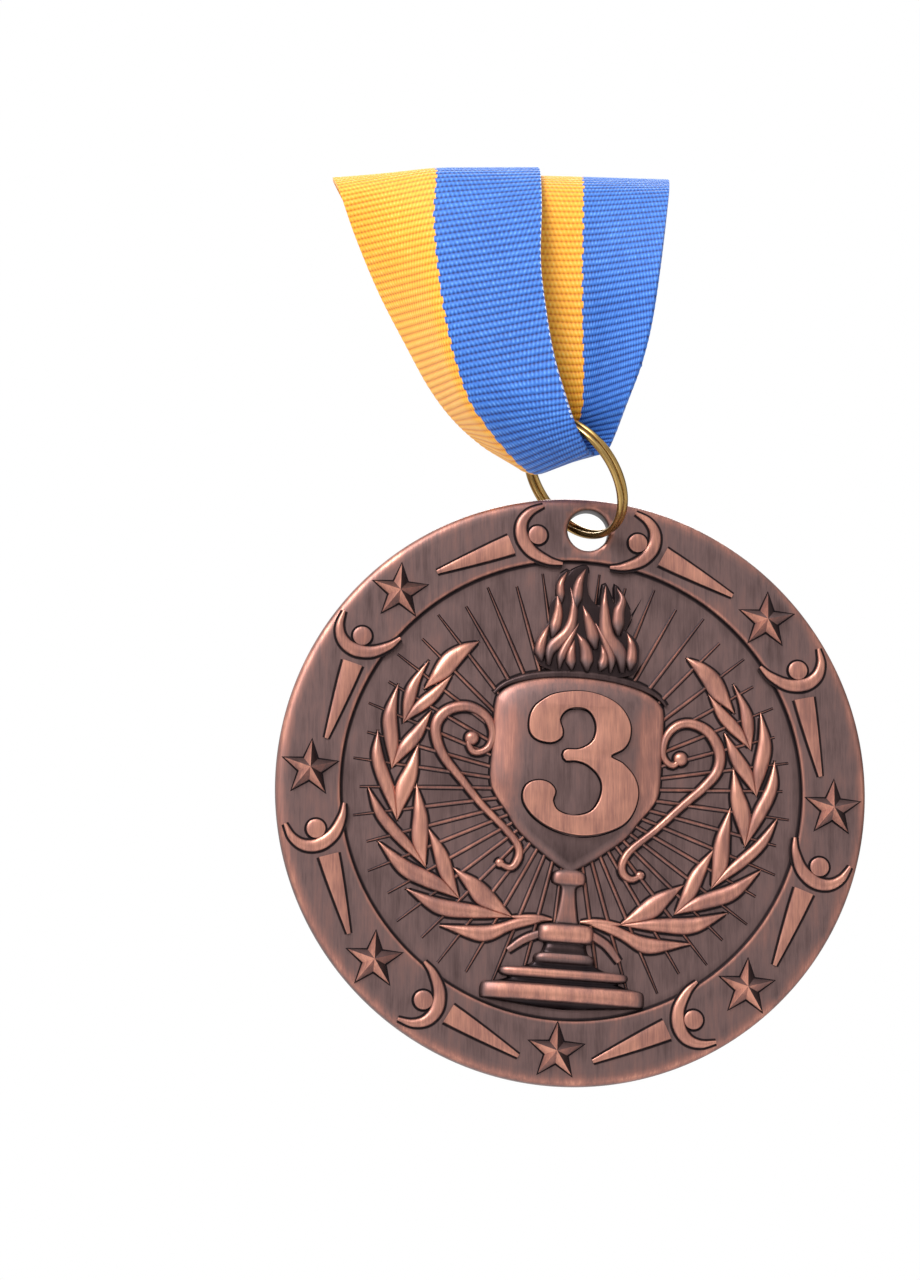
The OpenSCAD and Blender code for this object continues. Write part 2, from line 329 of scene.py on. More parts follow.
def loft(shape, left, right, height, level, crown=0.5, skirt=0.24, ridge=0.0, bright=0.92, dim=0.5, taper=1.3,
         across=9, fade=None):
    # a raised strip between two edges: height * min(1, width/taper)^0.6 * (1 - |2v-1|^2)^crown, in a dark groove
    width = np.linalg.norm(right - left, axis=1)
    along = unit(np.gradient((left + right) / 2, axis=0))
    side = np.where(width[:, None] > 0.05, (right - left) / np.maximum(width[:, None], 1e-6),
                    np.stack([along[:, 1], -along[:, 0]], axis=1))
    tall = height * np.minimum(1, width / taper) ** 0.6
    v = 0.5 - 0.5 * np.cos(np.linspace(0, np.pi, across))
    hump = np.maximum(1 - np.abs(2 * v - 1) ** 2, 0) ** crown if ridge == 0 else 1 - np.abs(2 * v - 1)
    foot = 0.25
    flat = 0 * width
    rows = [(left - side * skirt, level - 0.3 + flat, 0.0), (left - side * skirt, level + 0.006 + flat, 0.12),
            (left - side * 0.04, level + 0.014 + flat, 0.0)]
    for k, w in enumerate(v):
        rows.append((left + side * (width * w)[:, None], level + 0.02 + tall * (foot + (1 - foot) * hump[k]),
                     dim * 0.45 if k in (0, across - 1) else dim + (bright - dim) * hump[k] ** 0.7))
    rows += [(right + side * 0.04, level + 0.014 + flat, 0.0), (right + side * skirt, level + 0.006 + flat, 0.12),
             (right + side * skirt, level - 0.3 + flat, 0.0)]
    points = np.stack([onFace(p[:, 0], p[:, 1], h) for p, h, _ in rows], axis=1)
    polish = np.stack([flat + q for _, _, q in rows], axis=1)
    if fade is not None:
        polish = polish * np.interp(np.linspace(0, 1, len(width)), np.linspace(0, 1, len(fade)), fade)[:, None]
    shape.grid(points, polish)


def stroke(shape, points, widths, height, level, count=40, **more):
    # a strip of varying width along a smooth line
    line = evenLine(points, count)
    along = unit(np.gradient(line, axis=0))
    side = np.stack([along[:, 1], -along[:, 0]], axis=1)
    w = np.interp(np.linspace(0, 1, count), np.linspace(0, 1, len(widths)), widths)[:, None] / 2
    loft(shape, line - side * w, line + side * w, height, level, **more)


def dome(shape, outline, centre, height, level, crown=0.5, skirt=0.24, bright=0.9, dim=0.5, rings=9, foot=0.3):
    # a closed outline drawn in to its centre: point = centre + (outline - centre) t, height (1 - t^2)^crown
    outline, centre = np.asarray(outline, float), np.asarray(centre, float)
    out = unit(outline - centre)
    t = np.sin(np.linspace(np.pi / 2, 0, rings))
    t[-1] = 0.004
    rows = [(outline + out * skirt, level - 0.3, 0.0), (outline + out * skirt, level + 0.006, 0.05),
            (outline + out * 0.04, level + 0.014, 0.0)]
    for k, s in enumerate(t):
        hump = max(1 - s * s, 0) ** crown
        rows.append((centre + (outline - centre) * s, level + 0.02 + height * (foot + (1 - foot) * hump),
                     dim * 0.5 if k == 0 else dim + (bright - dim) * min(1, hump * 1.1)))
    points = np.stack([onFace(p[:, 0], p[:, 1], h + 0 * p[:, 0]) for p, h, _ in rows])
    shape.grid(points, np.stack([np.full(len(outline), q) for _, _, q in rows]), flip=True)


def circle(centre, radius, count=28):
    a = np.linspace(0, 2 * np.pi, count, endpoint=False)
    return np.stack([centre[0] + radius * np.sin(a), centre[1] + radius * np.cos(a)], axis=1)


def plate(name, outline, level, height, edge, bright, dim, skirt=0.25, under=None):
    # a flat-topped raised shape with a rounded edge, on a dark outline that is a little larger
    parts = []
    for grow, low, tall, bevel, q in ((skirt, level - 0.25, 0.262, 0.0, 0.0),
                                      (-edge * 0.5, level - 0.2, height + 0.2 - edge, edge, bright)):
        curve = bpy.data.curves.new(name, "CURVE")
        curve.dimensions, curve.fill_mode = "2D", "BOTH"
        line = curve.splines.new("POLY")
        line.points.add(len(outline) - 1)
        corners = np.column_stack([outline, np.zeros(len(outline)), np.ones(len(outline))])
        line.points.foreach_set("co", corners.ravel())
        line.use_cyclic_u = True
        curve.offset, curve.extrude, curve.bevel_depth, curve.bevel_resolution = grow, tall / 2, bevel, 3
        holder = bpy.data.objects.new(name, curve)
        mesh = bpy.data.meshes.new_from_object(holder)
        place = np.zeros(len(mesh.vertices) * 3)
        mesh.vertices.foreach_get("co", place)
        place = place.reshape(-1, 3)
        top = place[:, 2].max()
        h = low + place[:, 2] + top
        polish = np.where(h > low + 2 * top - edge * 0.6 - 1e-4, bright,
                          np.where(h > low + 2 * top - edge * 1.1, dim, 0.06)) if bevel else np.zeros(len(h))
        if under is not None:
            # the dark outline follows the surface below, and the shape itself is flat
            h = h + (under(place[:, 0], place[:, 1]) if bevel == 0 else cup["height"] + cup["numeralLift"])
        mesh.vertices.foreach_set("co", (onFace(place[:, 0], place[:, 1], h) * mm).ravel())
        mesh.attributes.new("polish", "FLOAT", "POINT").data.foreach_set("value", polish.astype(np.float32))
        parts.append(mesh)
        bpy.data.objects.remove(holder)
        bpy.data.curves.remove(curve)
    work = bmesh.new()
    for mesh in parts:
        work.from_mesh(mesh)
        bpy.data.meshes.remove(mesh)
    bmesh.ops.remove_doubles(work, verts=work.verts, dist=1e-7)
    bmesh.ops.recalc_face_normals(work, faces=work.faces)
    done = bpy.data.meshes.new(name)
    work.to_mesh(done)
    work.free()
    piece = bpy.data.objects.new(name, done)
    bpy.context.scene.collection.objects.link(piece)
    done.shade_smooth()
    done.set_sharp_from_angle(angle=np.radians(30))
    return piece


wreath = {"middle": 0.25, "leafHeight": 0.62}
leafPairs = [   # base, belly of the outer edge, outer tip, inner tip, fork; right-hand branch
    ((19.5, 5.8), (19.2, 10.3), (17.1, 13.1), (14.4, 11.7), (18.4, 8.1)),
    ((20.4, 0.7), (21.7, 6.8), (20.3, 10.2), (16.4, 7.6), (19.8, 3.4)),
    ((19.4, -5.0), (22.7, 1.9), (22.2, 4.9), (17.6, 3.8), (19.9, -1.5)),
    ((15.9, -9.9), (21.8, -4.6), (22.9, -1.4), (17.6, -0.6), (17.6, -7.3)),
    ((12.0, -13.0), (18.9, -10.6), (21.4, -7.3), (16.1, -5.3), (14.2, -10.9)),
    ((6.0, -14.6), (14.5, -14.8), (18.0, -12.3), (13.0, -9.6), (9.8, -13.6)),
]


def leaf(shape, left, right, side, count=26):
    a, b = evenLine(left, count), evenLine(right, count)
    for edge in (a, b):
        edge[:, 0] = wreath["middle"] + side * (edge[:, 0] - wreath["middle"])
    edges = (a, b) if side > 0 else (b, a)
    loft(shape, *edges, wreath["leafHeight"], disc["field"], crown=0.55, bright=0.84, dim=0.46, taper=1.5)


def rightOf(start, end):
    # the unit vector to the right of the way from start to end
    step = end - start
    return unit(np.array([step[1], -step[0]]))


def makeWreath():
    # each pair of leaves opens from one base: an outer leaf past the belly and an inner leaf past the fork
    shape = Shape()
    for side in (1, -1):
        for base, belly, outerTip, innerTip, fork in leafPairs:
            base, belly, outerTip, innerTip, fork = (np.array(p) for p in (base, belly, outerTip, innerTip, fork))
            outerBelly = base * 0.45 + belly * 0.55 + 0.35 * rightOf(base, belly)
            innerBelly = base * 0.45 + innerTip * 0.55 - 0.85 * rightOf(base, innerTip)
            outerMiddle = (fork + outerTip) / 2 + 0.18 * rightOf(fork, outerTip)
            innerMiddle = (fork + innerTip) / 2 + 0.12 * rightOf(fork, innerTip)
            stalk = unit(innerTip - base)
            leaf(shape, [base, outerBelly, belly, outerTip], [base + 0.06 * stalk, fork, outerMiddle, outerTip],
                 side)
            leaf(shape, [base, fork, innerMiddle, innerTip], [base + 0.05 * stalk, innerBelly, innerTip], side)
        leaf(shape, [(17.5, 9.7), (15.9, 13.4), (13.9, 15.0), (11.7, 15.6)],
             [(17.5, 9.7), (14.9, 11.3), (13.6, 13.0), (11.7, 15.6)], side)
        leaf(shape, [(2.0, -14.6), (6.0, -16.0), (9.3, -17.5), (14.0, -16.1)],
             [(2.2, -14.4), (5.2, -14.5), (8.6, -15.6), (14.0, -16.0)], side)
        leaf(shape, [(6.0, -14.7), (4.4, -14.9), (3.0, -14.9), (1.8, -14.7)],
             [(6.4, -14.4), (4.4, -14.1), (3.0, -14.1), (1.8, -14.4)], side)
    return shape.build("wreath", sharp=50)


band = {"starRadius": 28.8, "starTip": 3.15, "starWaist": 0.41, "starWall": 0.24, "starHeight": 1.4,
        "figureRadius": 28.45,
        "figures": ((11.3, 14, 0.7), (58.1, 17, 0.9), (103.4, 5, 0.9),
                    (148.8, 4, 0.4))}   # head, bend, shift inwards


def makeStars():
    # ten-cornered pyramids with a ridge to every tip; painted light: each facet is made lighter the more it faces
    # down and to the left, as if lit from there
    shape = Shape()
    a = np.radians(36 * np.arange(11))
    reach = np.where(np.arange(11) % 2 == 0, band["starTip"], band["starTip"] * band["starWaist"])
    outline = np.stack([reach * np.sin(a), reach * np.cos(a)], axis=1)
    wall, peak = band["starWall"], band["starHeight"]
    for k in range(1, 8):
        centre = band["starRadius"] * np.array([np.sin(np.radians(45 * k)), np.cos(np.radians(45 * k))])
        for i in range(10):
            pair = outline[i:i + 2]
            # painted light and shade on each facet, set by which way the facet faces
            facetLight = 0.58 + 0.40 * float(-rightOf(*pair) @ (-0.80, -0.60))
            rows, polish = [], []
            for grow, h, q in ((1.0, -0.3, 0.02), (1.0, 0.006, 0.04), (1.0, 0.012, 0.02), (0.97, wall, facetLight * 0.8),
                               (0.5, wall + 0.5 * (peak - wall), facetLight), (0.004, peak, facetLight + 0.1)):
                p = centre + pair * grow + 0.22 * unit(pair) * (h < 0.01)
                rows.append(onFace(p[:, 0], p[:, 1], disc["face"] + h + 0 * p[:, 0]))
                polish.append(np.full(2, q))
            shape.grid(np.stack(rows), np.clip(np.stack(polish), 0, 1), around=False, flip=True)
    return shape.build("stars", sharp=12)


figure = {
    "head": 1.05, "headHeight": 0.36, "armHeight": 0.40, "bodyHeight": 0.34,
    "armAlong": (-2.3, -0.8, 0.9, 1.75, 1.55, 0.5, -1.1), "armOut": (-3.5, -3.0, -1.75, 0, 1.6, 2.7, 3.25),
    "armWidths": (0.35, 0.9, 1.25, 1.45, 1.25, 0.85, 0.35),
    "bodyStart": 3.05, "bodyAlong": (0, 2.45, 5.65, 8.85), "bodyHalf": (1.15, 0.95, 0.6, 0.2),
}


def onRim(t, r, angle, side):
    # t runs from the figure's head away from the top along the rim, and r outwards
    t, r = np.asarray(t, float), np.asarray(r, float)
    c, s = np.cos(np.radians(angle)), np.sin(np.radians(angle))
    x = (band["figureRadius"] + r) * s + t * c
    z = (band["figureRadius"] + r) * c - t * s
    return np.stack([side * x, z], axis=-1)


def makeFigures():
    # head, raised arms and a tapering body that bends inwards, drawn along the tangent and turned round the disc
    shape = Shape()
    for angle, bend, shift in band["figures"]:
        c, s = np.cos(np.radians(bend)), np.sin(np.radians(bend))
        for side in (1, -1):
            dome(shape, onRim(*circle((0, 0), figure["head"]).T, angle, side), onRim(0, 0, angle, side),
                 figure["headHeight"], disc["face"], crown=0.18, bright=0.74, dim=0.42, rings=7)
            stroke(shape, onRim(figure["armAlong"], figure["armOut"], angle, side), figure["armWidths"],
                   figure["armHeight"], disc["face"], 44, crown=0.4, bright=0.80, dim=0.42, taper=0.9)
            edges = []
            for sign in (-side, side):
                t, r = np.array(figure["bodyAlong"]), sign * np.array(figure["bodyHalf"])
                line = onRim(figure["bodyStart"] + t * c + r * s, -shift - t * s + r * c, angle, side)
                edges.append(evenLine(line, 16))
            loft(shape, *edges, figure["bodyHeight"], disc["face"], crown=0.12, bright=0.80, dim=0.5, taper=0.9)
    return shape.build("figures", sharp=50)


ray = {"count": 48, "inner": 5.5, "outer": 24.2, "shorter": 0.9, "height": 0.26,
       "widthAt": (5.5, 17, 24.3), "halfWidth": (0.17, 0.19, 0.02)}


def makeRays():
    # thin ridges pointing at the middle, widest inside and a point outside
    shape = Shape()
    for k in range(ray["count"]):
        a = np.radians(360 / ray["count"] * (k + 0.5))
        out, side = np.array([np.sin(a), np.cos(a)]), np.array([np.cos(a), -np.sin(a)])
        r = np.linspace(ray["inner"], ray["outer"] - ray["shorter"] * (k % 2), 5)[:, None]
        w = np.interp(r, ray["widthAt"], ray["halfWidth"])
        centre = out * r
        loft(shape, centre - side * w, centre + side * w, ray["height"], disc["field"], ridge=1, skirt=0.13,
             bright=0.78, dim=0.30, taper=0.5, across=5)
    return shape.build("rays", sharp=60)


cup = {"foot": 0.30, "height": 1.05, "shoulder": 3.2, "fullness": 0.55, "numeralLift": 0.26,
       "grooveAround": 0.22, "rimBand": 0.8}
cupMiddle = np.array([0.28, 3.2])
cupHalf = [(9.4, 8.0), (9.4, 4.3), (9.35, 0.4), (8.7, -1.3), (7.35, -3.1), (5.9, -5.1), (3.3, -7.2), (1.1, -8.7)]
numeralOutline = [(-5.2, 6.8), (-5.0, 8.0), (-4.3, 9.0), (-2.6, 10.1), (0.1, 10.6), (2.5, 10.3), (4.5, 9.3),
                  (5.7, 7.6), (5.8, 5.9), (5.2, 4.7), (3.8, 3.7), (5.3, 2.9),
    (6.6, 1.5), (7.1, -0.2), (6.7, -2.2), (5.6, -3.7), (3.4, -4.8), (1.0, -5.2), (-1.6, -4.8), (-3.8, -3.7),
    (-5.1, -2.3), (-5.4, -1.1), (-5.0, -0.1), (-3.9, 0.4),
    (-2.7, 0.2), (-2.0, -0.6), (-2.2, -1.7), (-1.5, -2.8), (0.3, -3.2), (2.1, -2.6), (3.0, -1.2), (3.2, 0.4),
    (2.6, 1.7), (1.3, 2.7), (0, 3.0), (-0.9, 2.9),
    (-1.3, 3.4), (-1.0, 4.0), (0.5, 4.2), (1.8, 5.1), (2.2, 6.5), (1.9, 7.8), (1.1, 8.7), (-0.1, 8.9),
    (-1.3, 8.5), (-2.0, 7.4), (-1.6, 6.1), (-1.8, 5.3), (-2.8, 4.8), (-4.2, 5.0), (-5.0, 5.7)]


def closedLine(points, count):
    # a smooth closed curve through the points
    p = np.asarray(points, float)
    p = np.vstack([p[-2:], p, p[:3]])
    fine = smoothLine(p, 60 * len(p))
    step = len(fine) / (len(p) - 1)
    fine = fine[int(round(2 * step)):int(round((len(p) - 3) * step))]
    run = lengthAlong(fine)
    at = np.linspace(0, run[-1], count, endpoint=False)
    return np.stack([np.interp(at, run, fine[:, k]) for k in range(2)], axis=1)


def bowlOutline():
    half = np.array(cupHalf)
    arc = np.array([[x, 8.5 + 3.95 * (1 - (x / 9.4) ** 2) ** 0.42] for x in 9.25
                    * np.sin(np.linspace(np.pi / 2, -np.pi / 2, 19))])
    return closedLine(np.vstack([half[::-1], arc, half * [-1, 1], [[0, -9.4]]]), 240) + [cupMiddle[0], 0]


def bulge(s):
    # height of the bowl over the field: foot + height (1 - s^shoulder)^fullness, s the share of the way out
    return cup["foot"] + cup["height"] * (1 - s ** cup["shoulder"]) ** cup["fullness"]


def bowlLevel(x, z):
    # the bowl's height under any point: s is its distance from the middle over the outline's that way
    edge = bowlOutline() - cupMiddle
    order = np.argsort(np.arctan2(edge[:, 0], edge[:, 1]))
    angle, reach = np.arctan2(edge[:, 0], edge[:, 1])[order], np.linalg.norm(edge, axis=1)[order]
    far = np.interp(np.arctan2(x - cupMiddle[0], z - cupMiddle[1]), angle, reach, period=2 * np.pi)
    s = np.clip(np.hypot(x - cupMiddle[0], z - cupMiddle[1]) / far, 0, 1)
    return bulge(s)


def makeCup():
    # the bowl bulges across its width like a barrel, flat where the numeral stands, and runs to a point below
    shape = Shape()
    fine, centre, middle = bowlOutline(), cupMiddle, cupMiddle[0]
    t = np.array([1.0, 0.985, 0.96, 0.90, 0.80, 0.68, 0.52, 0.34, 0.17, 0.004])
    points, polish = [], []
    for grow, h, q in ((cup["grooveAround"], -0.3, 0.0), (cup["grooveAround"], 0.006, 0.04), (0.05, 0.014, 0.0)):
        p = fine + unit(fine - centre) * grow
        points.append(onFace(p[:, 0], p[:, 1], disc["field"] + h + 0 * p[:, 0]))
        polish.append(np.full(len(fine), q))
    for s in t:
        p = centre + (fine - centre) * s
        x, z = p[:, 0] - middle, p[:, 1]
        sideways = np.clip(np.abs(x) / 9.6, 0, 1)
        h = bulge(s)
        lowEnd = np.clip((-z - 3.5) / 6, 0, 1)
        sheen = 0.34 * np.exp(-((sideways - 0.84) / 0.15) ** 2)   # a painted highlight: a light stripe down each side
        q = 0.34 + sheen * np.clip((z + 6) / 5, 0.15, 1) * np.clip((11 - z) / 4, 0.3, 1)
        # the bowl is also made lighter at the top and darker towards its low end
        q = q + 0.12 * np.clip((z - 10.2) / 1.5, 0, 1) - 0.18 * lowEnd
        q = np.where(s > 0.995, 0.30, q) + (0.16 if 0.95 < s < 0.99 else 0)
        points.append(onFace(p[:, 0], z, disc["field"] + h + 0 * x))
        polish.append(np.clip(q, 0.05, 0.95))
    shape.grid(np.stack(points), np.stack(polish), flip=True)
    # the rim's dark band above the bowl
    x = 9.5 * np.sin(np.linspace(-np.pi / 2, np.pi / 2, 60))
    z = 8.75 + 3.95 * (1 - (x / 9.8) ** 2) ** 0.42
    stroke(shape, np.stack([x + middle, z], axis=1), [0.4, 0.95, 1.1, 1.1, 0.95, 0.4], cup["rimBand"],
           disc["field"], 60, crown=0.5, bright=0.20, dim=0.05)
    return shape.build("cupBowl", sharp=50)


handle = {"height": 0.66, "ball": 0.78, "ballHeight": 0.75, "foot": 0.5, "footHeight": 0.55,
          "widths": (0.6, 0.75, 0.88, 1.02, 1.18, 1.28, 1.16, 1.0, 0.9, 0.82, 0.8, 0.88, 0.9, 0.5)}


def makeHandles():
    # each handle is a scrolled stroke with a ball in its upper curl and a smaller one at its lower end
    shape = Shape()
    lines = [
        [(-10.9, 4.9), (-11.7, 4.3), (-11.0, 3.2), (-9.5, 3.8), (-9.1, 5.6), (-10.0, 7.3), (-11.9, 8.2),
         (-13.9, 7.8), (-15.2, 6.5), (-15.3, 4.7),
         (-14.3, 2.5), (-12.1, 0), (-9.7, -2.6), (-7.0, -5.0), (-5.6, -6.6), (-5.4, -8.0), (-6.2, -9.2),
         (-7.8, -8.6)],
        [(11.8, 4.3), (10.9, 3.4), (9.8, 4.4), (10, 6.5), (11.2, 7.9), (12.9, 8.2), (14.8, 7.3), (16, 5.3),
         (15.9, 3.3), (14.6, 1.4), (12.2, -1),
         (9.3, -4), (6.9, -6.2), (6, -7.8), (6.2, -9), (7.2, -9.5), (8.4, -8.8)]]
    for line, ball, foot in zip(lines, ((-11.35, 4.75), (11.75, 4.2)), ((-7.4, -8.75), (8.0, -9.0))):
        stroke(shape, line, handle["widths"], handle["height"], disc["field"], 110,
               crown=0.45, bright=0.78, dim=0.42, taper=0.9)
        dome(shape, circle(ball, handle["ball"]), ball, handle["ballHeight"], disc["field"], bright=0.82, dim=0.45)
        dome(shape, circle(foot, handle["foot"]), foot, handle["footHeight"], disc["field"], bright=0.8, dim=0.45)
    return shape.build("cupHandles", sharp=50)


flameOutline = [(-4.1, 13.3), (-2.1, 12.8), (0.2, 13.0), (3.2, 12.7), (4.7, 12.8), (6.2, 13.5), (6.4, 15.5),
                (6.1, 16.8), (4.8, 17.9), (4.3, 17.4), (5.1, 18.9), (5.2, 20.0),
    (4.5, 21.4), (3.4, 22.9), (3.4, 20.8), (2.2, 23.0), (1.9, 21.6), (1.7, 20.4), (0.6, 21.4), (0.2, 22.7),
    (0.1, 24.8), (-1.3, 24.4), (-2.0, 23.6), (-2.0, 24.3), (-3.0, 23.4),
    (-3.2, 22.2), (-2.8, 21.6), (-3.6, 20.5), (-3.7, 18.4), (-3.9, 18.0), (-4.9, 16.3), (-5.1, 15.1), (-4.7, 13.9)]
flameTongues = [   # ridge line, greatest width
    ([(-3.5, 13.4), (-3.3, 15.3), (-1.5, 17.5), (-1.1, 20.1), (-1.6, 22.3)], 1.0),
    ([(0.8, 13.1), (0.5, 15.5), (-0.6, 17.3)], 1.0), ([(-0.9, 13.1), (-1.1, 14.8), (-0.8, 16.5)], 0.8),
    ([(1.6, 15.6), (1.0, 17.7), (-0.1, 20.4)], 0.95),
    ([(4.7, 13.2), (4.3, 15.3), (2.8, 17.3), (2.3, 20.3), (2.3, 22.8)], 1.15),
    ([(5.5, 13.5), (5.6, 16.0), (5.0, 17.7)], 0.85),
    ([(-4.3, 13.8), (-4.5, 15.5), (-3.7, 18.0)], 0.8), ([(-3.3, 16.5), (-2.8, 19.3), (-3.0, 21.6)], 0.85),
    ([(-0.9, 20.0), (-0.7, 22.8), (-0.05, 24.5)], 0.85),
    ([(4.0, 17.3), (3.9, 19.8), (4.2, 21.4), (3.6, 22.6)], 0.95), ([(2.2, 13.2), (2.6, 14.6), (2.2, 16.2)], 0.8),
    ([(-2.3, 13.1), (-2.0, 15.0), (-0.4, 18.4)], 0.7),
    ([(-2.5, 20.5), (-2.7, 22.5), (-2.1, 24.0)], 0.65), ([(3.4, 13.1), (3.3, 15.0), (1.4, 18.6)], 0.7)]


flame = {"level": 0.40, "height": 0.75, "wider": 1.6, "tip": 0.12, "fade": (0.15, 0.5, 0.95, 1, 1, 0.95, 0.8)}


def makeFlame():
    # tongues drawn along their ridge lines over the flame's body, darker at the root and lighter towards the tip
    shape = Shape()
    for line, wide in flameTongues:
        wide = flame["wider"] * wide
        stroke(shape, line, [0.4 * wide, wide, 0.9 * wide, 0.6 * wide, flame["tip"]], flame["height"],
               disc["field"] + flame["level"], 34, crown=0.7, skirt=0.05, bright=0.80, dim=0.10, taper=0.9,
               fade=flame["fade"])
    return shape.build("flameTongues", sharp=60)


baseProfile = [   # height up the face, half-width, relief, polish
    (-8.9, 0.7, 0.45, 0.35), (-9.15, 1.5, 0.6, 0.4), (-9.5, 1.75, 0.75, 0.62), (-10.0, 1.8, 0.8, 0.72),
    (-10.45, 1.7, 0.75, 0.6), (-10.7, 1.2, 0.6, 0.2), (-11.0, 0.8, 0.55, 0.4),
    (-12.2, 0.84, 0.6, 0.62), (-13.6, 1.05, 0.6, 0.62), (-14.6, 1.25, 0.55, 0.5), (-14.85, 1.5, 0.5, 0.1),
    (-15.0, 2.5, 0.8, 0.3), (-15.3, 2.95, 1.05, 0.66), (-15.9, 3.05, 1.2, 0.86), (-16.5, 3.0, 1.15, 0.84),
    (-16.9, 2.8, 0.95, 0.5), (-17.1, 2.2, 0.6, 0.06), (-17.6, 2.25, 0.7, 0.16), (-18.1, 2.5, 0.7, 0.08),
    (-18.3, 3.0, 0.85, 0.45), (-18.7, 3.25, 0.95, 0.5), (-19.1, 3.25, 0.85, 0.2), (-19.4, 3.5, 0.6, 0.03),
    (-19.8, 4.6, 0.6, 0.02), (-19.95, 6.5, 0.9, 0.45), (-20.2, 6.9, 1.1, 0.84), (-20.6, 6.9, 1.15, 0.86),
    (-20.9, 6.6, 0.95, 0.4), (-21.1, 5.9, 0.7, 0.03), (-21.5, 7.2, 0.7, 0.02), (-21.7, 8.4, 1.0, 0.5),
    (-22.0, 8.75, 1.25, 0.86), (-22.7, 8.85, 1.4, 0.9), (-23.3, 8.8, 1.3, 0.76), (-23.55, 8.5, 1.0, 0.1),
    (-23.8, 6.5, 0.8, 0.02), (-24.1, 3.0, 0.5, 0.01), (-24.25, 0.3, 0.3, 0.01)]


def makeBase():
    # a turned stem and foot in half relief: at each height a superellipse across, (1 - |x/w|^5)^(1/2) high
    shape = Shape()
    rows = smoothLine(baseProfile, 260)
    rows[:, 3] = np.interp(np.linspace(0, 1, 260), np.linspace(0, 1, len(baseProfile)), [b[3] for b in baseProfile])
    z, w, h, q = (rows[:, k][:, None] for k in range(4))
    v = np.sin(np.linspace(-np.pi / 2, np.pi / 2, 33))[None, :]
    x = cupMiddle[0] + w * v
    up = disc["field"] + 0.02 + h * (0.25 + 0.75 * np.maximum(1 - np.abs(v) ** 5, 0) ** 0.5)
    shade = q * (0.35 + 0.65 * np.minimum(1, 1.35 * (1 - np.abs(v) ** 5)))
    top = onFace(x, z, up)
    foot = x[:, [0, -1]] + [[-0.18, 0.18]]   # a dark groove along both sides
    low, deep = onFace(foot, z, disc["field"] + 0.008), onFace(foot, z, disc["field"] - 0.3)
    points = np.concatenate([deep[:, :1], low[:, :1], top, low[:, 1:], deep[:, 1:]], axis=1)
    polish = np.concatenate([0 * z, 0 * z, shade, 0 * z, 0 * z], axis=1)
    shape.grid(points, polish, flip=True)
    for line in ([(-2.2, -16.0), (-4.2, -16.9), (-5.9, -18.2)], [(2.9, -15.8), (4.8, -16.9), (6.3, -18.6)]):
        stroke(shape, line, [0.9, 0.95, 0.9, 0.7], 0.5, disc["field"], 24, crown=0.4, bright=0.52, dim=0.25)
    return shape.build("cupStem", sharp=40)


print("making the disc")
medalPieces = [makeDisc(), makeWreath(), makeStars(), makeFigures(), makeRays(), makeCup(), makeHandles(),
               makeFlame(), makeBase()]
medalPieces.append(plate("numeral", closedLine(numeralOutline, 220), disc["field"] + 0.02, 0.34, 0.14, 0.80, 0.5,
                         under=bowlLevel))
medalPieces.append(plate("flameBody", closedLine(flameOutline, 200), disc["field"], 0.5, 0.12, 0.10, 0.26))
for piece in medalPieces:
    piece.data.materials.clear()
    piece.data.materials.append(copper)
    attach(piece, "medal")
    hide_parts("medal_disc")


ring = {"centre": (0.12, -8.53, -25.68), "radius": 6.95, "wire": 0.36, "along": (0.584, 0.053, -0.81),
        "towards": (0.383, -0.898, 0.217), "start": 3.4}


def makeRing():
    # two turns of wire side by side: the centreline steps over by one wire between the turns
    f, m = unit(np.array(ring["along"])), unit(np.array(ring["towards"]))
    axis = unit(np.cross(f, m))
    m = np.cross(axis, f)
    turn = np.linspace(0, 4 * np.pi - 0.05, 400)
    step = np.clip((turn - (2 * np.pi - 0.5)) / 0.95, 0, 1)
    over = (-1 + 2 * step * step * (3 - 2 * step)) * ring["wire"]
    a = (turn + ring["start"])[:, None]
    line = np.array(ring["centre"]) + ring["radius"] * (np.cos(a) * f + np.sin(a) * m) + over[:, None] * axis
    along = unit(np.gradient(line, axis=0))
    side = unit(np.cos(a) * f + np.sin(a) * m)
    up = np.cross(along, side)
    b = np.linspace(0, 2 * np.pi, 20, endpoint=False)
    taper = np.minimum(1, np.minimum(np.linspace(0, 400, 400), np.linspace(400, 0, 400)) / 5) ** 0.5
    size = (ring["wire"] * (0.15 + 0.85 * taper))[:, None, None]
    points = line[:, None] + size * (np.cos(b)[None, :, None] * side[:, None] + np.sin(b)[None, :, None]
                                     * up[:, None])
    shape = Shape()
    uv = np.stack(np.broadcast_arrays((turn * ring["radius"])[:, None], (b * ring["wire"])[None, :]), axis=-1)
    shape.grid(points, np.full(points.shape[:2], 0.5), uv)
    return shape.build("splitRing", sharp=60)


def brassMaterial():
    made, tree, shader = newMaterial("antiqueBrass")
    uv = tree.nodes.new("ShaderNodeUVMap")
    uv.uv_map = "weave"
    mapping = tree.nodes.new("ShaderNodeMapping")
    mapping.inputs["Scale"].default_value = (0.25, 3.5, 1)
    noise = tree.nodes.new("ShaderNodeTexNoise")
    noise.inputs["Scale"].default_value = 1.0
    noise.inputs["Detail"].default_value = 4.0
    tree.links.new(uv.outputs["UV"], mapping.inputs["Vector"])
    tree.links.new(mapping.outputs["Vector"], noise.inputs["Vector"])
    colour = ramp(tree, noise.outputs["Fac"],
                  [(0.3, (0.20, 0.115, 0.035)), (0.55, (0.50, 0.32, 0.11)), (0.75, (0.76, 0.54, 0.22))])
    tree.links.new(colour, shader.inputs["Base Color"])
    shader.inputs["Metallic"].default_value = 1.0
    rough = ramp(tree, noise.outputs["Fac"], [(0.3, (0.34,) * 3), (0.7, (0.2,) * 3)])
    tree.links.new(rough, shader.inputs["Roughness"])
    bump(tree, shader, noise.outputs["Fac"], 0.15, 0.00005)
    return made


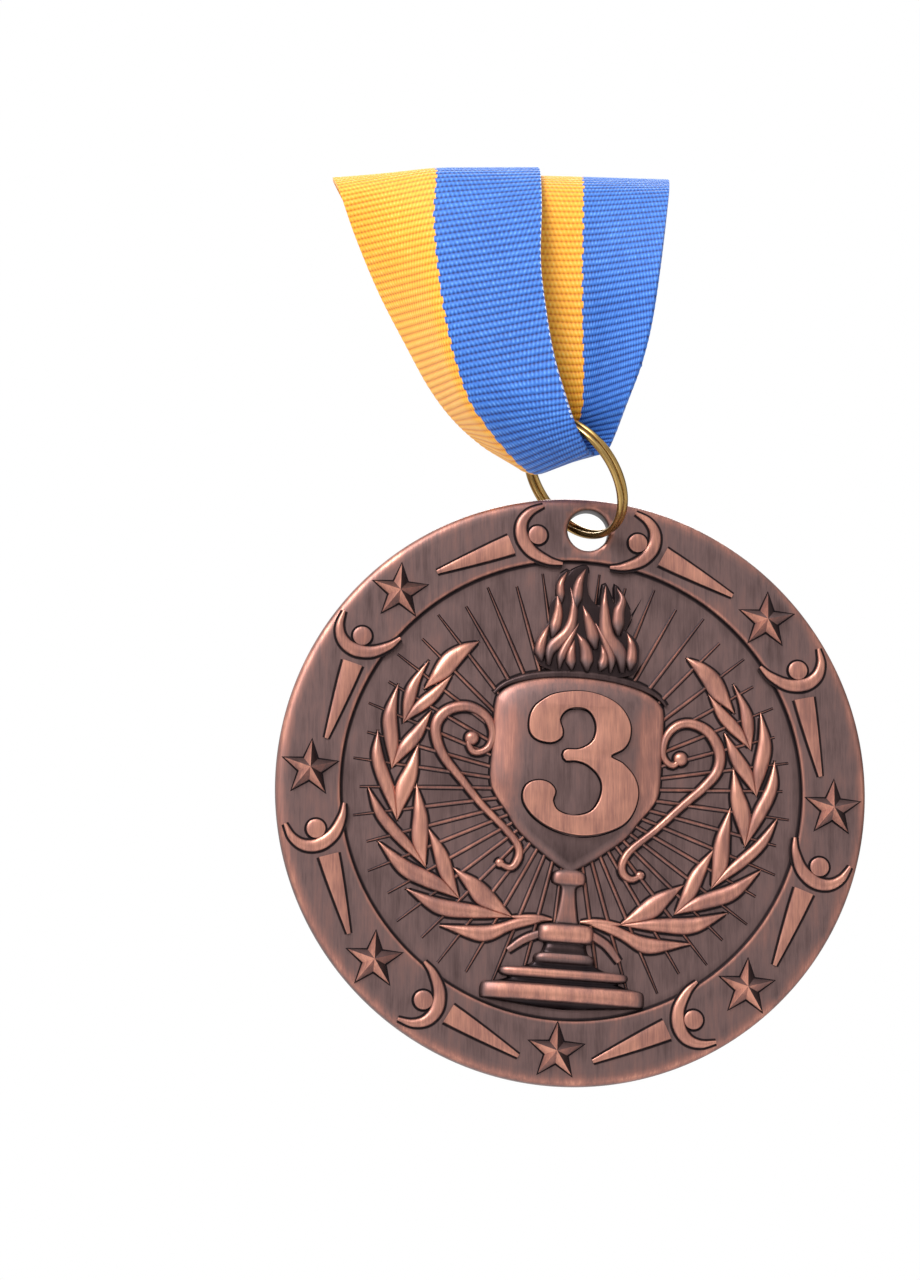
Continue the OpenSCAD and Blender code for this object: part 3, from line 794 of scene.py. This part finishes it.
print("making the ring")
splitRing = makeRing()
splitRing.data.materials.append(brassMaterial())
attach(splitRing, "ring")
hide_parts("split_ring")


ribbon = {"width": 24.0, "thick": 0.42, "ribPitch": 0.78, "ribHeight": 0.05, "rollRadius": 9.5, "coreWide": 5.6,
          "coreHigh": 7.6, "rollLeft": -15.5,
          "rows": 1900, "softBend": 0.18, "ply": 0.45, "plyThick": 0.41, "coreGap": 0.3, "rollStart": 200}

# outer = yellow edge, middle = where the colours meet, inner = blue edge
# points from the disc's middle, down the front strand, through the fold and up the rear strand
frontOuter = [(-26.6, 5, 70.3), (-26, 0.5, 67.5), (-24, 1.5, 62.5), (-21.2, 3, 56.5), (-18.1, 3, 50.5),
              (-15.6, 3.2, 46.0), (-13.2, 3.2, 42.7)]
frontMiddle = [(-15.3, 5, 71.3), (-15.4, -1.7, 69.2), (-16, -6, 62.5), (-15.5, -7.4, 55.5), (-14.5, -7.4, 49.3),
               (-13.2, -6.7, 44.9), (-11.6, -5.5, 41.5)]
frontInner = [(-3.3, 5, 71.7), (-3.6, -1.9, 69.6), (-4, -7.6, 64), (-4.3, -9.8, 57), (-3.7, -10.4, 51),
              (-2.9, -10.7, 46.2), (-1.7, -11, 41.7)]
foldOuter = [(-10.6, 3.3, 40.2), (-7.9, 3.3, 38.4), (-5.2, 3.0, 38.0), (-4.7, 2.4, 39.0), (-5.6, 1.2, 40.6)]
foldMiddle = [(-7.9, -2.8, 37.6), (-5.1, -0.2, 35.7), (-3.6, 1, 35.7), (-2.7, 1.6, 37.6), (-0.4, -2.6, 39)]
foldInner = [(-0.6, -10.7, 38.4), (0.5, -9.6, 36.6), (1.4, -8, 36.1), (3.2, -6.2, 36.9), (4.2, -7.6, 38.8)]
rearOuter = [(-7, -0.5, 42.5), (-9, -3, 46), (-10.5, -5, 51), (-11, -5.8, 57), (-10.8, -4.7, 65),
             (-10.6, -0.9, 69.05), (-10.4, 5, 70.8)]
rearMiddle = [(0.8, -5.6, 41.2), (1, -6.2, 45), (0.9, -6.2, 50), (0.8, -6.2, 57), (1, -4.7, 65),
              (1.3, -0.9, 69.05), (1.6, 5, 70.8)]
rearInner = [(5.2, -11, 41.8), (6.4, -12.8, 45.4), (7.5, -13, 50), (8.7, -11.6, 57), (10.3, -6, 65.5),
             (11.1, -0.9, 69.05), (11.6, 5, 70.8)]

# angle round the roll and where the ribbon's middle is there; each end's radii on the roll and its turn
frontDrift = [(0, -15.1), (22, -13.9), (45, -11.8), (90, -7.6), (120, -5.3), (150, -4.0), (205, -3.5)]
rearDrift = [(0, 0.8), (90, -1.6), (190, -3.5)]
frontWrap, rearWrap = (11.3, 10.75, 205), (10.8, 10.25, 190)


def wrapRound(drift, radiusFrom, radiusTo, turn, outer):
    # on over the top of the roll and down its back: y = r sin a, z = r cos a, drifting sideways
    a = np.radians(np.linspace(0, turn, 9)[1:])
    s = np.linspace(0, 1, 9)[1:]
    x = np.interp(np.degrees(a), *zip(*drift)) + outer
    r = radiusFrom + (radiusTo - radiusFrom) * np.minimum(1, s * 2.5)
    return [tuple(p) for p in (np.stack([x, r * np.sin(a), r * np.cos(a)], axis=1) - discCentre)]


def edgeCurves():
    # each edge from behind the roll, down the front strand, through the fold and up the rear strand
    out = []
    half = ribbon["width"] / 2
    for offset, front, fold, rear in ((-half, frontOuter, foldOuter, rearOuter),
                                      (0, frontMiddle, foldMiddle, rearMiddle),
                                      (half, frontInner, foldInner, rearInner)):
        start = wrapRound(frontDrift, *frontWrap, offset)[::-1]
        end = wrapRound(rearDrift, *rearWrap, offset)
        out.append(start + front + fold + rear + end)
    return out


def makeStrands():
    # rows along the ribbon, columns across; every rib is a rounded ridge, ribHeight * |cos(pi v / pitch)| high
    edges = edgeCurves()
    fine = [smoothLine(e, 4000) for e in edges]
    run = lengthAlong((fine[0] + 2 * fine[1] + fine[2]) / 4)
    at = np.linspace(0, run[-1], ribbon["rows"])
    outer, mid, inner = (np.stack([np.interp(at, run, e[:, k]) for k in range(3)], axis=1) for e in fine)
    across = np.concatenate([np.linspace(0, 1, 13), np.linspace(1, 2, 13)[1:]])
    # the two straight halves are blended by a quadratic within softBend of the middle
    soft = ribbon["softBend"]
    t = across[None, :, None] - 1
    bend = np.where(np.abs(t) < soft, (t * t + soft * soft) / (2 * soft), np.abs(t))
    toInner, toOuter = (bend + t) / 2, (bend - t) / 2
    points = mid[:, None] + toInner * (inner - mid)[:, None] + toOuter * (outer - mid)[:, None]
    along = unit(np.gradient(points, axis=0))
    width = unit(np.gradient(points, axis=1))
    normal = unit(np.cross(width, along))
    ribs = np.abs(np.cos(np.pi * at / ribbon["ribPitch"]))[:, None, None]
    points = points + discCentre
    half = ribbon["thick"] / 2 - ribbon["ribHeight"] + ribbon["ribHeight"] * ribs
    face, back = points + normal * half, points - normal * half
    uvFace = np.stack(np.broadcast_arrays((across * ribbon["width"] / 2)[None, :], at[:, None]), axis=-1)
    loop = np.concatenate([face, back[:, ::-1]], axis=1)
    uv = np.concatenate([uvFace, uvFace[:, ::-1]], axis=1)
    shape = Shape()
    shape.grid(loop, np.full(loop.shape[:2], 0.5), uv)
    print("strand length", round(float(run[-1]), 1))
    return shape.build("ribbonStrands", sharp=70), float(run[-1])


def makeRoll():
    # two plies wound together: radius grows by two thicknesses a turn round an oval core
    shape = Shape()
    total = 0.0
    core, lead = ribbon["coreWide"] / 2 + ribbon["coreGap"], 2 * ribbon["ply"]
    turns = (ribbon["rollRadius"] - ribbon["coreWide"] / 2 - ribbon["coreGap"]) / lead
    sideways = np.array([0, 0.25, 6, 12, 18, 23.75, 24.0])   # places across the ribbon
    for ply in (0, 1):
        a = np.linspace(0.02, 2 * np.pi * turns, int(64 * turns))
        grow = core + ribbon["ply"] * ply + lead * a / (2 * np.pi)
        oval = (ribbon["coreHigh"] - ribbon["coreWide"]) / 2 * np.clip(1 - a / (2 * np.pi * turns), 0, 1)
        y, z = grow * np.sin(a), grow * np.cos(a) + oval * np.sign(np.cos(a)) * np.abs(np.cos(a)) ** 0.5
        line = np.stack([y, z], axis=1)
        along = unit(np.gradient(line, axis=0))
        out = np.stack([-along[:, 1], along[:, 0]], axis=1)
        run = lengthAlong(line)
        total += run[-1]
        x = ribbon["rollLeft"] + sideways + 0.15 * np.sin(a * 3.3 + ply)[:, None]   # the edges wander a little
        rows = []
        for sign in (1, -1):
            edge = line + out * sign * (ribbon["plyThick"] / 2)
            rows.append(np.stack([x, edge[:, :1] + 0 * x, edge[:, 1:] + 0 * x], axis=-1))
        loop = np.concatenate([rows[0], rows[1][:, ::-1]], axis=1)
        # rollStart keeps the roll clear of the length whose blue edge shows white
        uv = np.stack(np.broadcast_arrays(sideways[None, :], run[:, None] + ribbon["rollStart"]), axis=-1)
        shape.grid(loop, np.full(loop.shape[:2], 0.5), np.concatenate([uv, uv[:, ::-1]], axis=1))
    print("rolled length of both plies", round(float(total), 1))
    return shape.build("ribbonRoll", sharp=50), float(total)


weave = {
    "coloursMeet": 12.45, "whiteEdge": 24.12, "whiteLength": 80.0, "white": (0.66, 0.74, 0.88),
    "warp": 0.5, "thread": 0.52,      # widths across the ribbon of the fine and the long threads
    # each colour runs from its painted shade in the weave's grooves to its painted highlight on the ribs
    "blue": ((0.0, (0.005, 0.030, 0.18)), (0.3, (0.016, 0.105, 0.46)), (0.7, (0.040, 0.190, 0.66)),
             (1.0, (0.125, 0.34, 0.84))),
    "yellow": ((0.0, (0.70, 0.20, 0.005)), (0.3, (0.92, 0.36, 0.014)), (0.7, (1.0, 0.47, 0.032)),
               (1.0, (1.0, 0.61, 0.12))),
}


def ribbonMaterial():
    # the weave follows the UV map, in millimetres: u across from the yellow edge, v along
    made, tree, shader = newMaterial("grosgrain")
    uv = tree.nodes.new("ShaderNodeUVMap")
    uv.uv_map = "weave"
    split = tree.nodes.new("ShaderNodeSeparateXYZ")
    tree.links.new(uv.outputs["UV"], split.inputs["Vector"])
    u, v = split.outputs["X"], split.outputs["Y"]
    row = value(tree, "FLOOR", plus(tree, value(tree, "DIVIDE", v, ribbon["ribPitch"]), 0.5))
    odd = value(tree, "MODULO", row, 2.0)
    rib = value(tree, "ABSOLUTE", value(tree, "COSINE", times(tree, v, np.pi / ribbon["ribPitch"])))
    warpPhase = plus(tree, times(tree, u, 2 * np.pi / weave["warp"]), times(tree, odd, np.pi))
    warp = plus(tree, times(tree, value(tree, "SINE", warpPhase), 0.5), 0.5)
    mapping = tree.nodes.new("ShaderNodeMapping")
    mapping.inputs["Scale"].default_value = (3.0, 1.1, 1.0)
    tree.links.new(uv.outputs["UV"], mapping.inputs["Vector"])
    noise = tree.nodes.new("ShaderNodeTexNoise")
    noise.inputs["Scale"].default_value = 1.0
    noise.inputs["Detail"].default_value = 3.0
    tree.links.new(mapping.outputs["Vector"], noise.inputs["Vector"])
    broad = tree.nodes.new("ShaderNodeTexNoise")
    broad.inputs["Scale"].default_value = 0.35
    tree.links.new(uv.outputs["UV"], broad.inputs["Vector"])
    ragged = plus(tree, times(tree, odd, 0.22), times(tree, noise.outputs["Fac"], 0.5))
    isBlue = value(tree, "GREATER_THAN", plus(tree, u, ragged), weave["coloursMeet"])
    # long threads that dip under every second rib: sin(2 pi u / pitch) sin(pi v / rib)
    thread = times(tree, value(tree, "SINE", times(tree, u, 2 * np.pi / weave["thread"])),
                   value(tree, "SINE", times(tree, v, np.pi / ribbon["ribPitch"])))
    # painted light and shade: each rib and long thread is lighter on top and darker in the grooves between them,
    # and the noise adds random tone
    lightAndTone = times(tree, rib, plus(tree, times(tree, warp, 0.34), 0.62))
    lightAndTone = times(tree, lightAndTone, plus(tree, times(tree, noise.outputs["Fac"], 0.9), 0.45), clamp=True)
    lightAndTone = plus(tree, lightAndTone, times(tree, minus(tree, broad.outputs["Fac"], 0.5), 0.25), clamp=True)
    lightAndTone = plus(tree, lightAndTone, times(tree, thread, 0.20), clamp=True)
    blue = ramp(tree, lightAndTone, weave["blue"])
    yellow = ramp(tree, lightAndTone, weave["yellow"])
    colour = mixColour(tree, isBlue, yellow, blue)
    edge = value(tree, "GREATER_THAN", u, minus(tree, weave["whiteEdge"], times(tree, rib, 0.20)))
    edge = times(tree, edge, value(tree, "LESS_THAN", v, weave["whiteLength"]))
    colour = mixColour(tree, edge, colour, weave["white"])
    tree.links.new(colour, shader.inputs["Base Color"])
    shader.inputs["Roughness"].default_value = 0.62
    shader.inputs["Sheen Weight"].default_value = 0.25
    shader.inputs["Sheen Roughness"].default_value = 0.4
    relief = plus(tree, times(tree, rib, 0.7), times(tree, times(tree, warp, rib), 0.5))
    bump(tree, shader, relief, 0.55, 0.00010)
    return made


print("making the ribbon")
grosgrain = ribbonMaterial()
strands, strandLength = makeStrands()
roll, rollLength = makeRoll()
for piece, length in ((strands, strandLength), (roll, rollLength)):
    piece.data.materials.append(grosgrain)
    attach(piece, "ribbon")
    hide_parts("ribbon")


seam = {"count": 8, "pitch": 2.5, "first": -18.3, "length": 1.7, "radius": 10.98, "thread": 0.17, "spread": 18}
tie = {"angle": -50, "inner": 2.6, "outer": 11.75, "thick": 0.24, "wide": 2.4, "left": -16.0, "right": 9.0,
       "corner": 1.4}


def makeStitches():
    # short twisted threads lying on the ribbon: ends dip in, radius thread * (1 + 0.15 cos(twist))
    shape = Shape()
    s = np.linspace(0, 1, 13)
    b = np.linspace(0, 2 * np.pi, 10, endpoint=False)
    for row in (-1, 1):
        for k in range(seam["count"]):
            x = seam["first"] + 0.6 * row + seam["pitch"] * k + seam["length"] * s
            lift = seam["radius"] + 0.10 - 0.32 * (2 * s - 1) ** 4
            a = np.radians(90 + seam["spread"] * row)
            line = np.stack([x, lift * np.sin(a), lift * np.cos(a)], axis=1)
            thick = seam["thread"] * np.sqrt(np.clip(1 - (2 * s - 1) ** 6, 0.03, 1))
            size = thick[:, None] * (1 + 0.14 * np.cos(2 * b[None, :] - 14 * s[:, None]))
            radial, sideways = np.array([0, np.sin(a), np.cos(a)]), np.array([0, np.cos(a), -np.sin(a)])
            points = line[:, None] + size[..., None] * (np.cos(b)[None, :, None] * radial
                                                        + np.sin(b)[None, :, None] * sideways)
            shape.grid(points)
    return shape.build("seamStitches", sharp=60)


def makeTie():
    # a flat tape carried round a rounded rectangle, through the core and round the back of the roll
    corner = tie["corner"]
    lo, hi = np.array([tie["left"], tie["inner"]]), np.array([tie["right"], tie["outer"]])
    a = np.linspace(0, np.pi / 2, 9)[:-1]
    path = np.concatenate([
        [hi[0] - corner, hi[1] - corner] + corner * np.stack([np.sin(a), np.cos(a)], axis=1),
        [hi[0] - corner, lo[1] + corner] + corner * np.stack([np.cos(a), -np.sin(a)], axis=1),
        [lo[0] + corner, lo[1] + corner] + corner * np.stack([-np.sin(a), -np.cos(a)], axis=1),
        [lo[0] + corner, hi[1] - corner] + corner * np.stack([-np.cos(a), np.sin(a)], axis=1)])
    along = unit(np.roll(path, -1, axis=0) - np.roll(path, 1, axis=0))
    out = np.stack([-along[:, 1], along[:, 0]], axis=1)
    t, w = tie["thick"] / 2, tie["wide"] / 2
    section = [(-t, -w), (-t, w), (t, w), (t, -w)]
    flat = np.stack([np.column_stack([path + out * k, np.full(len(path), side)]) for k, side in section], axis=1)
    flat = np.concatenate([flat, flat[:1]], axis=0)
    c, s = np.cos(np.radians(tie["angle"])), np.sin(np.radians(tie["angle"]))
    points = np.stack([flat[..., 0], flat[..., 1] * c - flat[..., 2] * s, flat[..., 1] * s + flat[..., 2] * c],
                      axis=-1)
    run = lengthAlong(flat[:, 0])
    uv = np.stack(np.broadcast_arrays(np.array([-w, w, w, -w])[None, :], run[:, None]), axis=-1)
    shape = Shape()
    shape.grid(points, None, uv, caps=False)
    return shape.build("rollTie", sharp=50)


def threadMaterial(name, base, pitch):
    made, tree, shader = newMaterial(name)
    fibres = streaks(tree, (pitch, pitch * 0.3, pitch * 0.3), 3.0, 0.6)
    colour = ramp(tree, fibres, [(0.3, tuple(0.72 * c for c in base)), (0.7, base)])
    tree.links.new(colour, shader.inputs["Base Color"])
    shader.inputs["Roughness"].default_value = 0.8
    bump(tree, shader, fibres, 0.4, 0.00005)
    return made


print("making the stitches and the tie")
stitches = makeStitches()
stitches.data.materials.append(threadMaterial("sewingThread", (0.86, 0.86, 0.82), 6.0))
rollTie = makeTie()
rollTie.data.materials.append(threadMaterial("paperTape", (0.84, 0.83, 0.79), 2.0))
for piece, node, slot in ((stitches, "seam_thread", "thread"), (rollTie, "roll_tie", "tie")):
    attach(piece, "ribbon")
    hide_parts(node)


stage = {"floor": -0.22, "size": 4.0, "distance": 450.0, "imageHeight": 140.7, "right": 12.2, "down": 16.5}
lampTarget = (0.0, -0.005, -0.045)
lamps = {   # place in metres, diameter, watts
    "key": ((-0.35, -0.55, 0.45), 0.35, 5.0),
    "fill": ((0.55, -0.5, 0.05), 0.5, 0.4),
    "back": ((0.1, 0.6, 0.4), 0.4, 3.0),
}


def softLamp(name, where, size, power):
    lamp = bpy.data.lights.new(name, "AREA")
    lamp.shape, lamp.size, lamp.energy = "DISK", size, power
    made = bpy.data.objects.new(name, lamp)
    made.location = where
    made.rotation_euler = (Vector(lampTarget) - Vector(where)).to_track_quat("-Z", "Y").to_euler()
    bpy.context.scene.collection.objects.link(made)


def makeStage():
    mesh = bpy.data.meshes.new("floor")
    s, z = stage["size"], stage["floor"]
    mesh.from_pydata([(-s, -s, z), (s, -s, z), (s, s, z), (-s, s, z)], [], [(0, 1, 2, 3)])
    floor = bpy.data.objects.new("floor", mesh)
    bpy.context.scene.collection.objects.link(floor)
    made, tree, shader = newMaterial("paleFloor")
    shader.inputs["Base Color"].default_value = (0.62, 0.62, 0.62, 1)
    shader.inputs["Roughness"].default_value = 0.9
    mesh.materials.append(made)
    world = bpy.data.worlds.new("studio")
    world.use_nodes = True
    # the backdrop is white, and what lights the medal is brighter above than below
    tree = world.node_tree
    soft = tree.nodes["Background"]
    direction = tree.nodes.new("ShaderNodeTexCoord")
    parts = tree.nodes.new("ShaderNodeSeparateXYZ")
    tree.links.new(direction.outputs["Generated"], parts.inputs["Vector"])
    height = plus(tree, times(tree, parts.outputs["Z"], 0.40),
                  value(tree, "MULTIPLY_ADD", parts.outputs["X"], -0.26, 0.5))
    tree.links.new(ramp(tree, height, [(0.0, (0.10,) * 3), (0.35, (0.22,) * 3), (0.5, (0.50,) * 3),
                                       (0.68, (0.85,) * 3), (1.0, (1.25,) * 3)]), soft.inputs["Color"])
    white = tree.nodes.new("ShaderNodeBackground")
    white.inputs["Color"].default_value = (1, 1, 1, 1)
    seen, both = tree.nodes.new("ShaderNodeLightPath"), tree.nodes.new("ShaderNodeMixShader")
    tree.links.new(seen.outputs["Is Camera Ray"], both.inputs["Fac"])
    tree.links.new(soft.outputs["Background"], both.inputs[1])
    tree.links.new(white.outputs["Background"], both.inputs[2])
    tree.links.new(both.outputs["Shader"], tree.nodes["World Output"].inputs["Surface"])
    bpy.context.scene.world = world
    for name, settings in lamps.items():
        softLamp(name, *settings)


def makeCamera():
    # the disc's middle sits to the right of the picture's middle and below it, so the camera aims past it
    toCamera = unit(np.array([-0.1035, -0.9848, -0.1392]))
    right, up = np.array([0.9945, -0.1045, 0.0]), np.array([-0.0146, -0.1384, 0.9903])
    look = unit(-stage["distance"] * toCamera - stage["right"] * right + stage["down"] * up)
    side = unit(np.cross(look, up))
    top = np.cross(side, look)
    camera = bpy.data.objects.new("camera", bpy.data.cameras.new("camera"))
    camera.data.sensor_fit, camera.data.sensor_height = "VERTICAL", 36.0
    camera.data.lens = 36.0 * stage["distance"] / stage["imageHeight"]
    camera.data.clip_start = 0.01
    place = (discCentre + toCamera * stage["distance"]) * mm
    camera.matrix_world = Matrix([[side[k], top[k], -look[k], place[k]] for k in range(3)] + [[0, 0, 0, 1]])
    bpy.context.scene.collection.objects.link(camera)
    bpy.context.scene.camera = camera


makeStage()
makeCamera()
bpy.context.scene.view_settings.view_transform = "Standard"
print("scene ready")
